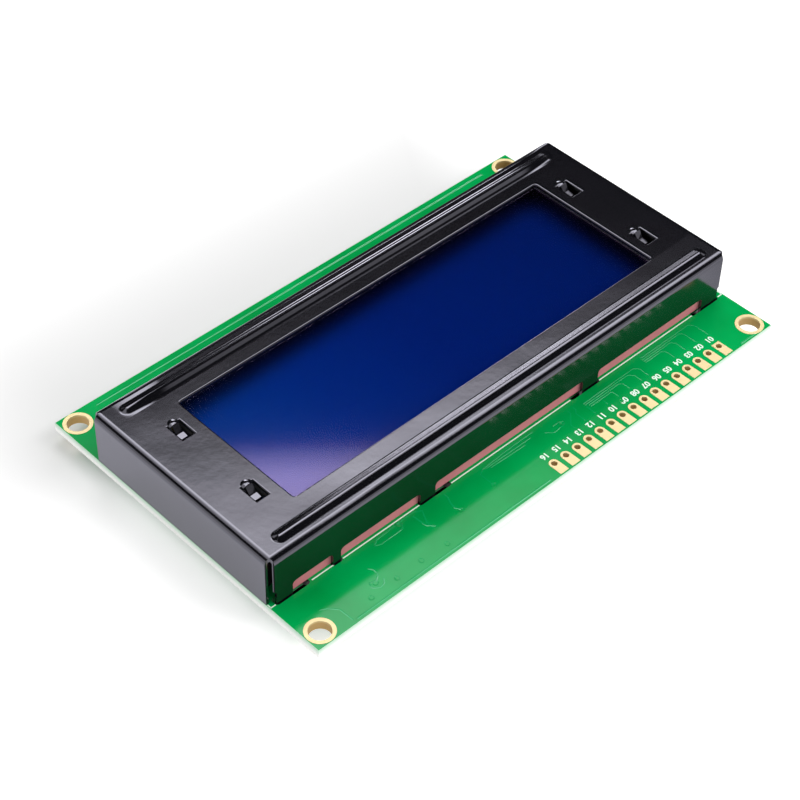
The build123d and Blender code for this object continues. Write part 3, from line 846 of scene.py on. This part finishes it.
# The camera sees the card a shade greyer than light does, so that the painted shadow shows.
card_seen = add(
    table_white, "ShaderNodeMix",
    {"data_type": "RGBA", 6: linear("#F0F0F0"), 7: linear("#DCDCDC")},
    {0: ray.outputs["Is Camera Ray"]},
)
# Painted reflection: what shines sees the card with a lilac tint.
card_painted_tint = add(
    table_white, "ShaderNodeMix", {"data_type": "RGBA", 7: linear("#DCDAF4")},
    {0: ray.outputs["Is Glossy Ray"], 6: card_seen.outputs[2]},
)
# Painted shade: the card is painted black below the bezel, and its far part is painted dark in what
# shines.
card_colour = add(
    table_white, "ShaderNodeMix", {"data_type": "RGBA", 6: linear("#000000")},
    {0: shade_paint_mask.outputs[0], 7: card_painted_tint.outputs[2]},
)
card = add(table_white, "ShaderNodeBsdfDiffuse", links={"Color": card_colour.outputs[2]})
# Painted shadow: at the far side and left the camera's glow is cut back, so a soft shadow is
# painted there.
shadow = None
for axis, clear_at, shaded_from in (("Y", -80, -36), ("X", 85, 40), ("Y", -5, -34)):
    rise = add(
        table_white, "ShaderNodeMapRange",
        {
            "interpolation_type": "SMOOTHSTEP",
            "From Min": clear_at * MM, "From Max": shaded_from * MM,
        },
        {"Value": axes.outputs[axis]},
    )
    if shadow:
        rise = add(
            table_white, "ShaderNodeMath", {"operation": "MULTIPLY"},
            {0: shadow.outputs[0], 1: rise.outputs[0]},
        )
    shadow = rise
glow = add(
    table_white, "ShaderNodeMapRange", {"To Min": 0.42, "To Max": 0.0},
    {"Value": shadow.outputs[0]},
)
# Painted light: on the near side and right the camera's glow rises to 0.6, washing out the card's
# shadow there.
for axis, none_at, full_from in (("Y", 0, 26), ("X", -34, -70)):
    rise = add(
        table_white, "ShaderNodeMapRange",
        {
            "interpolation_type": "SMOOTHSTEP",
            "From Min": none_at * MM, "From Max": full_from * MM, "To Max": 0.6,
        },
        {"Value": axes.outputs[axis]},
    )
    glow = add(
        table_white, "ShaderNodeMath", {"operation": "MAXIMUM"},
        {0: glow.outputs[0], 1: rise.outputs[0]},
    )
open_glow = add(
    table_white, "ShaderNodeMath", {"operation": "MULTIPLY"},
    {0: glow.outputs[0], 1: open_air.outputs[0]},
)
camera_glow = add(
    table_white, "ShaderNodeMath", {"operation": "MULTIPLY"},
    {0: open_glow.outputs[0], 1: ray.outputs["Is Camera Ray"]},
)
# Painted reflection: what shines sees the card's front part glow.
front_glow = add(
    table_white, "ShaderNodeMath", {"operation": "MULTIPLY"},
    {0: front_part.outputs["Result"], 1: ray.outputs["Is Glossy Ray"]},
)
mirror_glow = add(
    table_white, "ShaderNodeMath", {"operation": "MULTIPLY", 1: 0.54}, {0: front_glow.outputs[0]},
)
level = add(
    table_white, "ShaderNodeMath", {"operation": "ADD"},
    {0: camera_glow.outputs[0], 1: mirror_glow.outputs[0]},
)
glowing = add(
    table_white, "ShaderNodeEmission", {"Color": linear("#FFFFFF")}, {"Strength": level.outputs[0]},
)
both = add(table_white, "ShaderNodeAddShader", links={0: card.outputs[0], 1: glowing.outputs[0]})
add(table_white, "ShaderNodeOutputMaterial", links={"Surface": both.outputs[0]})
table.data.materials.append(table_white)

# Lamps: two round soft boxes, one high behind the module and a larger one on the right that
# throws the shadow to the left. The paint mirrors neither, only the patches above. Each has its
# turn and rise in degrees, distance and width in metres, and level.
centre = Vector((0, 0, 10 * MM))
for name, turn, rise, far, width, level in (
    ("soft_box", -129.5, 60.0, 0.60, 0.308, 3.0),
    ("side_light", 128.0, 42.0, 0.70, 0.45, 4.2),
):
    turn, rise = math.radians(turn), math.radians(rise)
    towards = Vector((
        math.cos(turn) * math.cos(rise), math.sin(turn) * math.cos(rise), math.sin(rise),
    ))
    bpy.ops.object.light_add(type="AREA", location=centre + towards * far)
    lamp = bpy.context.object
    lamp.name = name
    lamp.data.shape = "DISK"
    lamp.data.size = width
    lamp.data.energy = level * math.pi * math.pi * width * width / 4
    lamp.rotation_mode = "QUATERNION"
    lamp.rotation_quaternion = towards.to_track_quat("Z", "Y")
    lamp.visible_camera = False
    lamp.visible_glossy = False

# Camera: a short tele lens that looks down on the module from the corner between the header's
# side and the left end, a little turned about its own axis.
look_at = Vector((6.897 * MM, 1.975 * MM, 1.6 * MM))
distance = 320.832 * MM
azimuth, elevation, roll = math.radians(135.458), math.radians(44.625), math.radians(1.379)
away = Vector((
    math.sin(azimuth) * math.cos(elevation),
    -math.cos(azimuth) * math.cos(elevation),
    math.sin(elevation),
))
bpy.ops.object.camera_add(location=look_at + away * distance)
camera = bpy.context.object
camera.name = "camera"
camera.data.lens = 93.46
camera.data.sensor_width = 36
camera.data.clip_start = 0.01
camera.data.clip_end = 20
camera.rotation_mode = "QUATERNION"
turned = Matrix.Rotation(roll, 3, "Z").to_quaternion()
camera.rotation_quaternion = away.to_track_quat("Z", "Y") @ turned
scene.camera = camera
